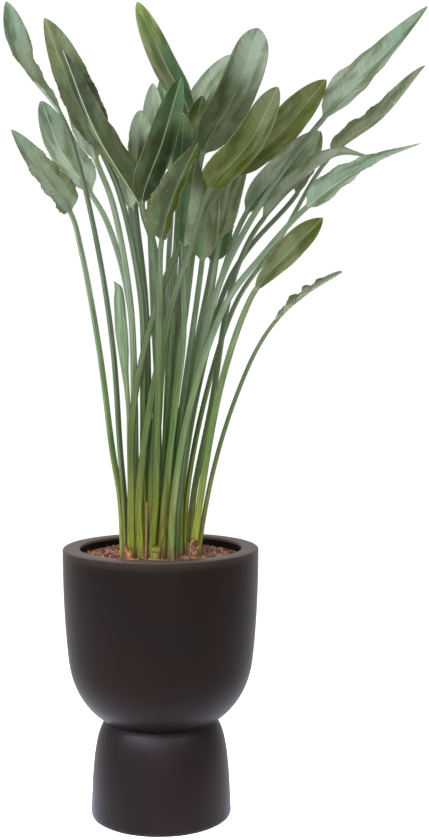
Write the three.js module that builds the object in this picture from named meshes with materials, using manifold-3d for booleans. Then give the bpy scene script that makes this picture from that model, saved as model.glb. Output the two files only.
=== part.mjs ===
// A bird of paradise plant in a footed pot. Millimetres, +Z up, with the origin at the centre
// of the pot's underside. The plant's front faces -Y, and +X is to the right seen from there.
import * as THREE from "three";
import { mergeVertices } from "three/addons/utils/BufferGeometryUtils.js";
import Module from "manifold-3d";

// Pot: a round-bottomed bowl on a foot with a domed shoulder
const POT_HEIGHT = 550;
const RIM_RADIUS = 200;
const MOUTH_RADIUS = 165;
const BASE_RADIUS = 143.5;
const NECK_RADIUS = 112.5;
const NECK_HEIGHT = 195;
const BELLY_RADIUS = 187;
const BELLY_HEIGHT = 310;
const EDGE_ROUNDING = 4;
const BOWL_FLOOR = 222;
const BOWL_FLOOR_RADIUS = 60;
const BOWL_WALL_FOOT = 330;
const FOOT_CEILING = 204;
const FOOT_FLOOR = 20;
const FOOT_WALL = 24;
const DRAIN_RADIUS = 12;
const POT_SIDES = 40;
const WALL_STEPS = 4;

// Soil: its surface dips and rises a little between the stems
const SOIL_LEVEL = 531;
const SOIL_GAP = 0.5;
const SOIL_RELIEF = 2.5;
const SOIL_RINGS = 4;
const ROOT_DEPTH = 60;
const HOLE_GAP = 0.4;
const HOLE_TOP = 25;

// Stems: six-cornered, with these radii to the corners near the soil and at the blade
const STEM_LOW = 9.6;
const STEM_HIGH = 6.4;
const STEM_TAPER = 1.1;
const STEM_FLATNESS = 0.72;
const STEM_GROOVE = 0.7;
const STEM_CORNERS = [150, 90, 30, -30, -90, -150];
const STEM_STEPS = 8;
const SWING = 1.6;

// Blades: one thickness but for the rib underneath, each half cupped a little
const BLADE_THICKNESS = 1.2;
const BLADE_STEPS = 11;
const USUAL_FULLNESS = 2.4;
const OUTLINE_POWER = 0.7;
const TIP_HALF_WIDTH = 1.2;
const NECK_LENGTH = 0.02;
const NECK_THICKENING = 5;
const NECK_TAPER = 0.1;
const CUPPING = 0.25;
const WAVES = 5;
const WAVED_PART = 0.75;
const ACROSS = [-1, -0.5, 0, 0.5, 1];

const OLIVE = 0x46522e;
const GREY_GREEN = 0x6f8a72;
const PALE_GREEN = 0x8fa78c;

// Each leaf from its foot in the soil to its tip. The stem's points are [x, z]: its depth swings
// from the foot's to the neck's. The turn, at the neck and at the tip, is 0 where the blade's
// upper face looks to the front and 180 where it looks to the back. The fold is how far each
// half is raised from flat. Angles are in degrees, and the wave is its height at the edge. A
// blade's outline swells by its full value up to its widest place, and by its blunt one after it.
const LEAVES = [
  { name: "leaf_01", foot: [-76, -10], stem: [[-81, 647], [-97, 750], [-121, 950], [-155, 1150]],
    neck: [-175, -60, 1225], middle: [-230, -135, 1303], tip: [-270, -200, 1365],
    width: 78, turn: [45, 35], fold: [22, 22], widest: 0.18, blunt: 1.3, wave: 4, color: GREY_GREEN },
  { name: "leaf_02", foot: [-68, -27],
    stem: [[-72, 650], [-80, 750], [-93, 950], [-122, 1152], [-166, 1345]],
    neck: [-195, -46, 1421], middle: [-277, -50, 1530], tip: [-301, -56, 1640],
    width: 70, turn: [58, 32], fold: [44, 30], widest: 0.62, blunt: 1.5, full: 1, wave: 3,
    color: GREY_GREEN },
  { name: "leaf_03", foot: [-56, 25], stem: [[-57, 650], [-56, 850], [-66, 1055], [-111, 1215]],
    neck: [-145, 40, 1275], middle: [-215, 110, 1375], tip: [-265, 180, 1490],
    width: 92, turn: [18, 18], fold: [43, 35], widest: 0.22, blunt: 2.2, wave: 4, color: PALE_GREEN },
  { name: "leaf_04", foot: [-49, -28], stem: [[-50, 650], [-51, 850], [-59, 1050], [-93, 1245]],
    neck: [-125, -50, 1330], middle: [-160, 30, 1435], tip: [-200, 90, 1545],
    width: 72, turn: [10, 10], fold: [30, 30], widest: 0.32, blunt: 2.2, wave: 4, color: OLIVE },
  { name: "leaf_05", foot: [-30, -29], stem: [[-34, 650], [-33, 850], [-36, 1050], [-77, 1260]],
    neck: [-115, -70, 1350], middle: [-170, -100, 1468], tip: [-219, -110, 1594],
    width: 88, turn: [160, 155], fold: [30, 30], widest: 0.32, blunt: 2.6, wave: 3, color: OLIVE },
  { name: "leaf_06", foot: [-19, -11], stem: [[-14, 650], [0, 850], [7, 1055], [-21, 1205]],
    neck: [-37, -55, 1242], middle: [-117, -150, 1371], tip: [-173, -195, 1512],
    width: 74, turn: [140, 140], fold: [40, 40], widest: 0.28, blunt: 1.4, wave: 3, color: OLIVE },
  { name: "leaf_07", foot: [-37, 25], stem: [[-32, 650], [-30, 850], [-37, 1058], [-52, 1165]],
    neck: [-64, 47, 1244], middle: [-79, 66, 1309], tip: [-102, 90, 1377],
    width: 52, turn: [20, 20], fold: [40, 30], widest: 0.32, blunt: 2.2, wave: 3, color: PALE_GREEN },
  { name: "leaf_08", foot: [-28, 43], stem: [[-26, 650], [-27, 850], [-34, 1060]],
    neck: [-58, 95, 1292], middle: [-53, 130, 1380], tip: [-48, 155, 1466],
    width: 70, turn: [30, 20], fold: [35, 30], widest: 0.32, blunt: 3, wave: 3, color: PALE_GREEN },
  { name: "leaf_09", foot: [-8, 43], stem: [[-6, 650], [-9, 850], [-22, 1080]],
    neck: [-30, 150, 1300], middle: [-30, 190, 1420], tip: [-25, 212, 1535],
    width: 66, turn: [20, 20], fold: [35, 35], widest: 0.32, blunt: 3, wave: 3, color: PALE_GREEN },
  { name: "leaf_10", foot: [12, 43], stem: [[13, 650], [13, 850], [10, 1080]],
    neck: [19, 165, 1331], middle: [8, 205, 1450], tip: [-2, 230, 1564],
    width: 60, turn: [-30, -30], fold: [35, 30], widest: 0.32, blunt: 2.2, wave: 2, color: PALE_GREEN },
  { name: "leaf_11", foot: [2, 25], stem: [[5, 650], [12, 850], [22, 1080], [46, 1300]],
    neck: [60, 60, 1430], middle: [3, 95, 1560], tip: [-53, 120, 1686],
    width: 78, turn: [-8, -8], fold: [50, 45], widest: 0.32, blunt: 2.6, wave: 3, color: OLIVE },
  { name: "leaf_12", foot: [-11, -29], stem: [[-18, 650], [-6, 850], [-1, 1070], [-12, 1165]],
    neck: [-30, -120, 1235], middle: [10, -125, 1355], tip: [45, -110, 1480],
    width: 80, turn: [0, 0], fold: [45, 45], widest: 0.32, blunt: 2.6, wave: 3, color: OLIVE },
  { name: "leaf_13", foot: [-18, -46], stem: [[-8, 650], [-2, 850], [5, 1065]],
    neck: [9, -165, 1160], middle: [35, -205, 1245], tip: [80, -235, 1335],
    width: 84, turn: [-40, -20], fold: [35, 40], widest: 0.22, blunt: 1.6, wave: 4, color: OLIVE },
  { name: "leaf_14", foot: [1, -11], stem: [[6, 650], [16, 850], [28, 1075]],
    neck: [40, -35, 1290], middle: [45, -15, 1358], tip: [46, 0, 1430],
    width: 60, turn: [20, 20], fold: [35, 30], widest: 0.32, blunt: 2.6, wave: 3, color: GREY_GREEN },
  { name: "leaf_15", foot: [11, 7], stem: [[14.5, 650], [22.5, 850], [39, 1075]],
    neck: [55, 10, 1318], middle: [66, 20, 1396], tip: [86, 15, 1470],
    width: 60, turn: [10, 10], fold: [35, 30], widest: 0.32, blunt: 2.6, wave: 3, color: OLIVE },
  { name: "leaf_16", foot: [21, 25], stem: [[22, 650], [30, 850], [46, 1075]],
    neck: [60, 85, 1340], middle: [85, 150, 1470], tip: [145, 205, 1595],
    width: 84, turn: [0, 0], fold: [20, 25], widest: 0.32, blunt: 2.4, wave: 3, color: PALE_GREEN },
  { name: "leaf_17", foot: [2, -46], stem: [[10, 650], [33, 850], [48, 970]],
    neck: [50, -90, 1155], middle: [60, -87, 1240], tip: [74, -78, 1330],
    width: 60, turn: [20, 20], fold: [25, 25], widest: 0.32, blunt: 2.2, wave: 3, color: PALE_GREEN },
  { name: "leaf_18", foot: [20, -11], stem: [[24, 650], [46, 850], [63, 970]],
    neck: [85, -40, 1130], middle: [95, -45, 1230], tip: [105, -35, 1335],
    width: 70, turn: [-10, -10], fold: [32, 30], widest: 0.3, blunt: 2.4, wave: 3, color: GREY_GREEN },
  { name: "leaf_19", foot: [9, -29], stem: [[14.5, 650], [29, 850], [57, 1075], [75, 1230]],
    neck: [85, -15, 1345], middle: [150, 5, 1470], tip: [200, 15, 1605],
    width: 88, turn: [10, 10], fold: [28, 25], widest: 0.32, blunt: 6, wave: 3, color: OLIVE },
  { name: "leaf_20", foot: [-38, -46], stem: [[-42, 650], [-16, 853], [35, 1070], [64, 1150]],
    neck: [100, -140, 1260], middle: [175, -160, 1345], tip: [230, -170, 1450],
    width: 80, turn: [-8, -5], fold: [40, 42], widest: 0.22, blunt: 4.5, wave: 3, color: OLIVE },
  { name: "leaf_21", foot: [39, -11], stem: [[40, 650], [61, 850], [84, 975], [104, 1075]],
    neck: [120, 0, 1180], middle: [140, -5, 1275], tip: [175, 10, 1380],
    width: 76, turn: [0, 0], fold: [45, 40], widest: 0.32, blunt: 2.4, wave: 3, color: OLIVE },
  { name: "leaf_22", foot: [30, 7], stem: [[31, 650], [54, 850], [75, 975]],
    neck: [105, 25, 1130], middle: [115, 40, 1225], tip: [145, 70, 1340],
    width: 76, turn: [20, 20], fold: [35, 30], widest: 0.3, blunt: 2.4, wave: 3, color: GREY_GREEN },
  { name: "leaf_23", foot: [-58, -45], stem: [[-58, 650], [-51, 850], [4, 1070], [42, 1155]],
    neck: [145, -75, 1295], middle: [245, -75, 1385], tip: [330, -65, 1485],
    width: 82, turn: [-12, -12], fold: [30, 30], widest: 0.32, blunt: 2.8, wave: 4, color: OLIVE },
  { name: "leaf_24", foot: [40, 25], stem: [[40, 650], [66, 850], [90, 975], [117, 1078]],
    neck: [175, 55, 1235], middle: [256, 75, 1332], tip: [330, 105, 1413],
    width: 78, turn: [0, 0], fold: [40, 35], widest: 0.32, blunt: 2.4, wave: 4, color: GREY_GREEN },
  { name: "leaf_25", foot: [29, -29], stem: [[34, 650], [63, 850], [119, 1083], [167, 1186], [246, 1310]],
    neck: [326, -35, 1413], middle: [421, -30, 1512], tip: [535, -25, 1638],
    width: 88, turn: [-28, -30], fold: [35, 33], widest: 0.26, blunt: 1.2, full: 1.3,
    wave: 3, color: PALE_GREEN },
  { name: "leaf_26", foot: [32, 43], stem: [[40, 650], [71, 850], [132, 1080], [180, 1165]],
    neck: [285, 140, 1285], middle: [320, 175, 1360], tip: [340, 205, 1430],
    width: 60, turn: [-40, -30], fold: [35, 30], widest: 0.32, blunt: 2.6, wave: 3, color: PALE_GREEN },
  { name: "leaf_27", foot: [49, 7], stem: [[52, 650], [89, 850], [156, 1055], [240, 1175]],
    neck: [350, 70, 1355], middle: [459, 75, 1437], tip: [545, 60, 1540],
    width: 72, turn: [-62, -66], fold: [40, 35], widest: 0.32, blunt: 2.2, wave: 3, color: PALE_GREEN },
  { name: "leaf_28", foot: [58, -11], stem: [[66, 650], [105, 850], [137, 1050], [162, 1135]],
    neck: [206, -18, 1214], middle: [354, -15, 1344], tip: [438, -20, 1336],
    width: 62, turn: [-45, -90], fold: [35, 12], widest: 0.32, blunt: 2.2, wave: 3, color: GREY_GREEN },
  { name: "leaf_29", foot: [22, -46], stem: [[28, 650], [63, 850], [136, 1051], [201, 1136]],
    neck: [291, -70, 1234], middle: [399, -95, 1309], tip: [508, -120, 1352],
    width: 64, turn: [-25, -80], fold: [22, 20], widest: 0.24, blunt: 1.3, wave: 3, color: PALE_GREEN },
  { name: "leaf_30", foot: [66, -29], stem: [[81, 650], [115, 850], [143, 955], [170, 1030]],
    neck: [190, -100, 1070], middle: [252, -170, 1141], tip: [311, -225, 1198],
    width: 64, turn: [-5, -5], fold: [44, 40], widest: 0.5, blunt: 3.4, full: 1.2, wave: 4, color: OLIVE },
  { name: "leaf_31", foot: [76, -11], stem: [[93, 646], [117, 750], [149, 850], [191, 950]],
    neck: [230, -60, 1010], middle: [285, -130, 1060], tip: [350, -190, 1100],
    width: 66, turn: [-80, -84], fold: [15, 10], widest: 0.36, blunt: 4, wave: 5, color: GREY_GREEN },
];

// The young leaf, still rolled up, the stump of a leaf that was cut off, and a dead stalk. Each
// has its sections from the ground up: [x, y, z, half width, half depth]
const RODS = [
  { name: "young_leaf", color: 0x6d9266, slant: 0,
    sections: [[-66, 8, 471, 7, 6], [-66, 8, 531, 7, 6], [-63, 8, 645, 6, 5], [-65, 6, 745, 5, 4.5],
      [-66, 4, 830, 5, 4], [-70, 2, 881, 6, 4.5], [-73, 1, 912, 8, 5], [-76, 0, 953, 12, 6],
      [-80, -1, 993, 14, 6], [-84, -2, 1055, 12, 5], [-86, -3, 1081, 8, 3.5],
      [-94, -3, 1092, 1.5, 1.2]] },
  { name: "cut_stump", color: 0x6d8236, slant: 7,
    sections: [[-9, -65, 471, 8.5, 7], [-9, -65, 531, 9, 7.5], [-8, -66, 556, 9.5, 7.5]] },
  { name: "dry_stalk", color: 0x8a6a3f, slant: 1,
    sections: [[-28, -62, 471, 2.5, 2], [-28, -62, 531, 2.5, 2], [-26, -65, 590, 2.2, 1.8],
      [-25, -69, 650, 1.2, 1]] },
];
const ROD_SIDES = 8;

// Dry leaf bases, each wrapped part of the way round a leaf's stem. Angles are in degrees from
// the stem's right side over its front. Each of the tops is where the torn edge ends, counted in
// points of that leaf's stem, where 1 is at the soil
const SHEATHS = [
  { name: "left_dry_sheath", leaf: "leaf_23", radius: 11.5, from: 62, to: 185, color: 0x9a6a34,
    tops: [1.16, 1.25, 1.19, 1.31, 1.22, 1.33, 1.18] },
  { name: "right_dry_sheath", leaf: "leaf_30", radius: 11.5, from: 30, to: 175, color: 0x7a5634,
    tops: [1.22, 1.36, 1.27, 1.42, 1.3, 1.38, 1.2] },
];
const SHEATH_THICKNESS = 1;
const SHEATH_FOOT = 0.8;
const SHEATH_ROWS = 2;

const wasm = await Module();
wasm.setup();

// A closed skin of triangles
class Skin {
  points = [];
  faces = [];

  ring(points) {
    const first = this.points.length;
    this.points.push(...points);
    return points.map((_, index) => first + index);
  }

  quad(a, b, c, d) {
    this.faces.push([a, b, c], [a, c, d]);
  }

  // Joins two rings with as many points each
  join(ring, next) {
    for (let i = 0; i < ring.length; i++) {
      const j = (i + 1) % ring.length;
      this.quad(ring[i], ring[j], next[j], next[i]);
    }
  }

  close(ring, turned) {
    for (let i = 1; i < ring.length - 1; i++) {
      const [b, c] = turned ? [ring[i + 1], ring[i]] : [ring[i], ring[i + 1]];
      this.faces.push([ring[0], b, c]);
    }
  }

  geometry() {
    const geometry = new THREE.BufferGeometry();
    const numbers = this.points.flatMap((point) => point.toArray());
    geometry.setAttribute("position", new THREE.Float32BufferAttribute(numbers, 3));
    geometry.setIndex(this.faces.flat());
    return facingOut(geometry);
  }
}

// Turns every triangle round where the body would be inside out
function facingOut(geometry) {
  const place = geometry.attributes.position;
  const index = geometry.index.array;
  const [a, b, c] = [new THREE.Vector3(), new THREE.Vector3(), new THREE.Vector3()];
  let volume = 0;
  for (let i = 0; i < index.length; i += 3) {
    a.fromBufferAttribute(place, index[i]);
    b.fromBufferAttribute(place, index[i + 1]);
    c.fromBufferAttribute(place, index[i + 2]);
    volume += a.dot(b.cross(c));
  }
  if (volume < 0) {
    for (let i = 0; i < index.length; i += 3) {
      [index[i + 1], index[i + 2]] = [index[i + 2], index[i + 1]];
    }
  }
  return geometry;
}

function positionOnly(geometry) {
  const bare = geometry.clone();
  bare.deleteAttribute("normal");
  bare.deleteAttribute("uv");
  return mergeVertices(bare, 1e-4);
}

function toSolid(geometry) {
  const bare = facingOut(positionOnly(geometry));
  const vertProperties = new Float32Array(bare.attributes.position.array);
  const triVerts = new Uint32Array(bare.index.array);
  return new wasm.Manifold(new wasm.Mesh({ numProp: 3, vertProperties, triVerts }));
}

function fromSolid(solid) {
  const { vertProperties, triVerts } = solid.getMesh();
  const geometry = new THREE.BufferGeometry();
  geometry.setAttribute("position", new THREE.BufferAttribute(vertProperties, 3));
  geometry.setIndex(new THREE.BufferAttribute(triVerts, 1));
  return geometry;
}

// Turns a profile of [radius, height] points round the pot's axis
function turned(profile) {
  const geometry = new THREE.LatheGeometry(profile, POT_SIDES);
  geometry.rotateX(Math.PI / 2);
  return facingOut(positionOnly(geometry));
}

const bend = (from, one, two, to) => new THREE.CubicBezierCurve(
  new THREE.Vector2(...from), new THREE.Vector2(...one),
  new THREE.Vector2(...two), new THREE.Vector2(...to),
);

const wallFoot = [MOUTH_RADIUS - 2, BOWL_WALL_FOOT];
const innerBowl = bend(wallFoot, [MOUTH_RADIUS - 6, 262], [118, BOWL_FLOOR],
  [BOWL_FLOOR_RADIUS, BOWL_FLOOR]);

function potGeometry() {
  const shoulder = bend([BASE_RADIUS, 6], [141, 90], [136, 165], [NECK_RADIUS, NECK_HEIGHT]);
  const belly = bend([NECK_RADIUS, NECK_HEIGHT + 1], [140, 212], [176, 246],
    [BELLY_RADIUS, BELLY_HEIGHT]);
  const side = bend([BELLY_RADIUS, BELLY_HEIGHT], [193, 350], [RIM_RADIUS, 440],
    [RIM_RADIUS, POT_HEIGHT - EDGE_ROUNDING]);
  const inFoot = bend([NECK_RADIUS - FOOT_WALL, FOOT_CEILING - 12], [112, 160], [117, 90],
    [BASE_RADIUS - FOOT_WALL, FOOT_FLOOR]);
  const profile = [
    new THREE.Vector2(0, 0),
    new THREE.Vector2(BASE_RADIUS - EDGE_ROUNDING, 0),
    ...shoulder.getPoints(5),
    ...belly.getPoints(5),
    ...side.getPoints(3).slice(1),
    new THREE.Vector2(RIM_RADIUS - EDGE_ROUNDING, POT_HEIGHT),
    new THREE.Vector2(MOUTH_RADIUS + EDGE_ROUNDING / 2, POT_HEIGHT),
    new THREE.Vector2(MOUTH_RADIUS, POT_HEIGHT - EDGE_ROUNDING / 2),
    ...innerBowl.getPoints(WALL_STEPS),
    new THREE.Vector2(DRAIN_RADIUS, BOWL_FLOOR),
    new THREE.Vector2(DRAIN_RADIUS, FOOT_CEILING),
    new THREE.Vector2(NECK_RADIUS - FOOT_WALL - 10, FOOT_CEILING),
    ...inFoot.getPoints(2),
    new THREE.Vector2(0, FOOT_FLOOR),
  ];
  return turned(profile);
}

// How far the soil's surface lies above its level at a place
function soilRise(x, y) {
  const edge = Math.hypot(x, y) / MOUTH_RADIUS;
  const waves = Math.sin(x / 23) * Math.cos(y / 19) + 0.6 * Math.sin((x + y) / 13);
  return SOIL_RELIEF * waves * (1 - edge ** 4);
}

function soilGeometry(holes) {
  const skin = new Skin();
  const inner = innerBowl.getPoints(WALL_STEPS).reverse();
  const top = MOUTH_RADIUS - SOIL_GAP;
  const ringAt = (radius, height) => {
    const points = [];
    for (let side = 0; side < POT_SIDES; side++) {
      const angle = 2 * Math.PI * side / POT_SIDES;
      const [x, y] = [radius * Math.sin(angle), radius * Math.cos(angle)];
      points.push(new THREE.Vector3(x, y, height ?? SOIL_LEVEL + soilRise(x, y)));
    }
    return skin.ring(points);
  };
  const rings = inner.map((point) => ringAt(point.x - SOIL_GAP, point.y + SOIL_GAP));
  for (let step = SOIL_RINGS; step > 0; step--) {
    rings.push(ringAt(top * step / SOIL_RINGS));
  }
  for (let i = 1; i < rings.length; i++) {
    skin.join(rings[i - 1], rings[i]);
  }
  skin.close(rings[0], true);
  skin.close(rings.at(-1), false);
  const soil = toSolid(skin.geometry());
  return fromSolid(holes.reduce((body, hole) => body.subtract(toSolid(hole)), soil));
}

const blend = (from, to, part) => from + (to - from) * part;

// The line that a leaf grows along, and how much of it is stem
function growthLine(leaf) {
  const [footX, footY] = leaf.foot;
  const neck = new THREE.Vector3(...leaf.neck);
  const points = [
    new THREE.Vector3(footX, footY, SOIL_LEVEL - ROOT_DEPTH),
    new THREE.Vector3(footX, footY, SOIL_LEVEL),
  ];
  for (const [x, z] of leaf.stem) {
    const swing = ((z - SOIL_LEVEL) / (neck.z - SOIL_LEVEL)) ** SWING;
    points.push(new THREE.Vector3(x, blend(footY, neck.y, swing), z));
  }
  points.push(neck, new THREE.Vector3(...leaf.middle), new THREE.Vector3(...leaf.tip));
  const curve = new THREE.CatmullRomCurve3(points);
  return { curve, stemPart: (points.length - 3) / (points.length - 1) };
}

// A place on the line with its side, seen as right from the front, and its upper face
function frameAt(curve, part, turn) {
  const centre = curve.getPoint(part);
  const along = curve.getTangent(part);
  const right = new THREE.Vector3(0, 1, 0).cross(along).normalize();
  const front = right.clone().cross(along).normalize();
  const angle = THREE.MathUtils.degToRad(turn);
  const side = right.clone().multiplyScalar(Math.cos(angle))
    .addScaledVector(front, -Math.sin(angle));
  const face = side.clone().cross(along);
  return { centre, side, face };
}

function stemRing(frame, halfWidth) {
  return STEM_CORNERS.map((degrees) => {
    const angle = THREE.MathUtils.degToRad(degrees);
    const groove = degrees === 90 ? STEM_GROOVE : 1;
    return frame.centre.clone()
      .addScaledVector(frame.side, halfWidth * Math.cos(angle))
      .addScaledVector(frame.face, halfWidth * STEM_FLATNESS * groove * Math.sin(angle));
  });
}

const stemHalfWidth = (part) => blend(STEM_HIGH, STEM_LOW, (1 - part) ** STEM_TAPER);

function bladeHalfWidth(leaf, part) {
  const beyond = part > leaf.widest;
  const away = Math.abs(part - leaf.widest) / (beyond ? 1 - leaf.widest : leaf.widest);
  const power = beyond ? leaf.blunt : leaf.full ?? USUAL_FULLNESS;
  const outline = Math.max(0, 1 - away ** power) ** OUTLINE_POWER;
  return Math.max(leaf.width / 2 * outline, blend(STEM_HIGH, TIP_HALF_WIDTH, part));
}

// The blade's upper and lower points at a part of its length, from its left edge to its right
function bladeRing(leaf, frame, part) {
  const half = bladeHalfWidth(leaf, part);
  const fold = THREE.MathUtils.degToRad(blend(...leaf.fold, part));
  const nearNeck = Math.max(0, 1 - part / NECK_TAPER) ** 2;
  const thickness = (BLADE_THICKNESS + NECK_THICKENING * nearNeck) / 2;
  const rib = STEM_HIGH * STEM_FLATNESS * (1 - part) ** 1.5;
  const wavedHere = Math.sin(Math.PI * Math.min(1, part / WAVED_PART));
  const upper = [];
  const lower = [];
  for (const across of ACROSS) {
    const out = Math.abs(across);
    const phase = leaf.foot[0] + (across > 0 ? 2 : 0);
    const wave = leaf.wave * out ** 2 * wavedHere * Math.sin(2 * Math.PI * WAVES * part + phase);
    const cup = CUPPING * half * out * (1 - out);
    const lift = half * out * Math.sin(fold) - cup + wave;
    const place = frame.centre.clone()
      .addScaledVector(frame.side, half * across * Math.cos(fold))
      .addScaledVector(frame.face, lift);
    upper.push(place.clone().addScaledVector(frame.face, thickness));
    lower.push(place.addScaledVector(frame.face, -thickness - (across === 0 ? rib : 0)));
  }
  return { upper, lower };
}

// Joins the stem's last ring to the blade's first: each stem corner fans out to the points
// that lie over it
function joinNeck(skin, stem, upper, lower) {
  const fan = (near, far) => {
    for (let i = 0; i < 3; i++) {
      const reach = [[0, 1], [1, 3], [3, 4]][i];
      for (let j = reach[0]; j < reach[1]; j++) {
        skin.faces.push([near[i], far[j + 1], far[j]]);
      }
    }
    skin.faces.push([near[0], near[1], far[1]], [near[1], near[2], far[3]]);
  };
  const [a, b, c, d, e, f] = stem;
  fan([a, b, c], upper);
  fan([d, e, f], lower.slice().reverse());
  skin.quad(c, d, lower.at(-1), upper.at(-1));
  skin.quad(f, a, upper[0], lower[0]);
}

// Joins two stations of the blade, with both faces split along the same diagonals
function joinBlade(skin, [upper, lower], [nextUpper, nextLower]) {
  for (let i = 1; i < upper.length; i++) {
    skin.quad(upper[i - 1], upper[i], nextUpper[i], nextUpper[i - 1]);
    skin.faces.push(
      [lower[i - 1], nextLower[i], lower[i]],
      [lower[i - 1], nextLower[i - 1], nextLower[i]],
    );
  }
  skin.quad(upper.at(-1), lower.at(-1), nextLower.at(-1), nextUpper.at(-1));
  skin.quad(lower[0], upper[0], nextUpper[0], nextLower[0]);
}

function leafGeometry(leaf) {
  const { curve, stemPart } = growthLine(leaf);
  const skin = new Skin();
  let stem;
  for (let step = 0; step <= STEM_STEPS; step++) {
    const part = step / STEM_STEPS;
    const frame = frameAt(curve, part * stemPart, leaf.turn[0]);
    const ring = skin.ring(stemRing(frame, stemHalfWidth(part)));
    if (stem) {
      skin.join(stem, ring);
    } else {
      skin.close(ring, true);
    }
    stem = ring;
  }
  let last;
  for (let step = 0; step <= BLADE_STEPS; step++) {
    const part = blend(NECK_LENGTH, 1, step / BLADE_STEPS);
    const frame = frameAt(curve, blend(stemPart, 1, part), blend(...leaf.turn, part));
    const { upper, lower } = bladeRing(leaf, frame, part);
    const station = [skin.ring(upper), skin.ring(lower)];
    if (last) {
      joinBlade(skin, last, station);
    } else {
      joinNeck(skin, stem, ...station);
    }
    last = station;
  }
  const [upper, lower] = last;
  for (let i = 1; i < upper.length; i++) {
    skin.quad(upper[i - 1], upper[i], lower[i], lower[i - 1]);
  }
  return skin.geometry();
}

// The hole in the soil that a stem stands in
function stemHole(leaf) {
  const { curve, stemPart } = growthLine(leaf);
  const skin = new Skin();
  let last;
  for (let step = 0; step <= STEM_STEPS; step++) {
    const part = step / STEM_STEPS;
    const frame = frameAt(curve, part * stemPart, leaf.turn[0]);
    const previousHeight = last ? last.height : 0;
    if (previousHeight > SOIL_LEVEL + HOLE_TOP) {
      break;
    }
    if (!last) {
      frame.centre.z -= HOLE_GAP;
    }
    const grown = stemHalfWidth(part) + 1.5 * HOLE_GAP;
    const ring = skin.ring(stemRing(frame, grown));
    if (last) {
      skin.join(last.ring, ring);
    } else {
      skin.close(ring, true);
    }
    last = { ring, height: frame.centre.z };
  }
  skin.close(last.ring, false);
  return skin.geometry();
}

function rodGeometry(rod, growth) {
  const skin = new Skin();
  let last;
  rod.sections.forEach(([x, y, z, halfWidth, halfDepth], level) => {
    const slant = level === rod.sections.length - 1 ? rod.slant : 0;
    const ring = skin.ring(Array.from({ length: ROD_SIDES }, (_, side) => {
      const angle = 2 * Math.PI * side / ROD_SIDES;
      const [across, depth] = [Math.cos(angle), Math.sin(angle)];
      return new THREE.Vector3(x + (halfWidth + growth) * across, y + (halfDepth + growth) * depth,
        z + slant * depth - (level === 0 ? growth : 0));
    }));
    if (last) {
      skin.join(last, ring);
    } else {
      skin.close(ring, true);
    }
    last = ring;
  });
  skin.close(last, false);
  return skin.geometry();
}

function sheathGeometry(sheath, growth) {
  const leaf = LEAVES.find(({ name }) => name === sheath.leaf);
  const { curve, stemPart } = growthLine(leaf);
  const pointPart = stemPart / (leaf.stem.length + 2);
  const skin = new Skin();
  const columns = sheath.tops.map((top, column) => {
    const last = sheath.tops.length - 1;
    const spread = (2 * column / last - 1) * growth / sheath.radius;
    const angle = THREE.MathUtils.degToRad(blend(sheath.from, sheath.to, column / last)) + spread;
    const outer = [];
    const inner = [];
    for (let row = 0; row <= SHEATH_ROWS; row++) {
      const at = blend(SHEATH_FOOT, top, row / SHEATH_ROWS) * pointPart;
      const { centre, side, face } = frameAt(curve, at, leaf.turn[0]);
      if (row === 0) {
        centre.z -= growth;
      }
      for (const [wall, offset] of [[inner, -growth], [outer, SHEATH_THICKNESS + growth]]) {
        const reach = sheath.radius + offset;
        wall.push(centre.clone().addScaledVector(side, reach * Math.cos(angle))
          .addScaledVector(face, reach * Math.sin(angle)));
      }
    }
    return skin.ring([...inner, ...outer.reverse()]);
  });
  skin.close(columns[0], true);
  for (let i = 1; i < columns.length; i++) {
    skin.join(columns[i - 1], columns[i]);
  }
  skin.close(columns.at(-1), false);
  return skin.geometry();
}

const plant = new THREE.Group();

function add(name, geometry, color, roughness) {
  const material = new THREE.MeshStandardMaterial({ color, roughness, metalness: 0 });
  const mesh = new THREE.Mesh(geometry, material);
  mesh.name = name;
  plant.add(mesh);
}

add("pot", potGeometry(), 0x2e2a29, 0.6);
const holes = [
  ...LEAVES.map(stemHole),
  ...RODS.map((rod) => rodGeometry(rod, HOLE_GAP)),
  ...SHEATHS.map((sheath) => sheathGeometry(sheath, 1.5 * HOLE_GAP)),
];
add("soil", soilGeometry(holes), 0x6b3b28, 0.95);
for (const leaf of LEAVES) {
  add(leaf.name, leafGeometry(leaf), leaf.color, 0.5);
}
for (const rod of RODS) {
  add(rod.name, rodGeometry(rod, 0), rod.color, 0.6);
}
for (const sheath of SHEATHS) {
  add(sheath.name, sheathGeometry(sheath, 0), sheath.color, 0.9);
}

export default plant;
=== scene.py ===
"""A potted bird of paradise: long-stalked leaves in bark mix, in a dark planter on a domed foot."""
import math

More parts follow.
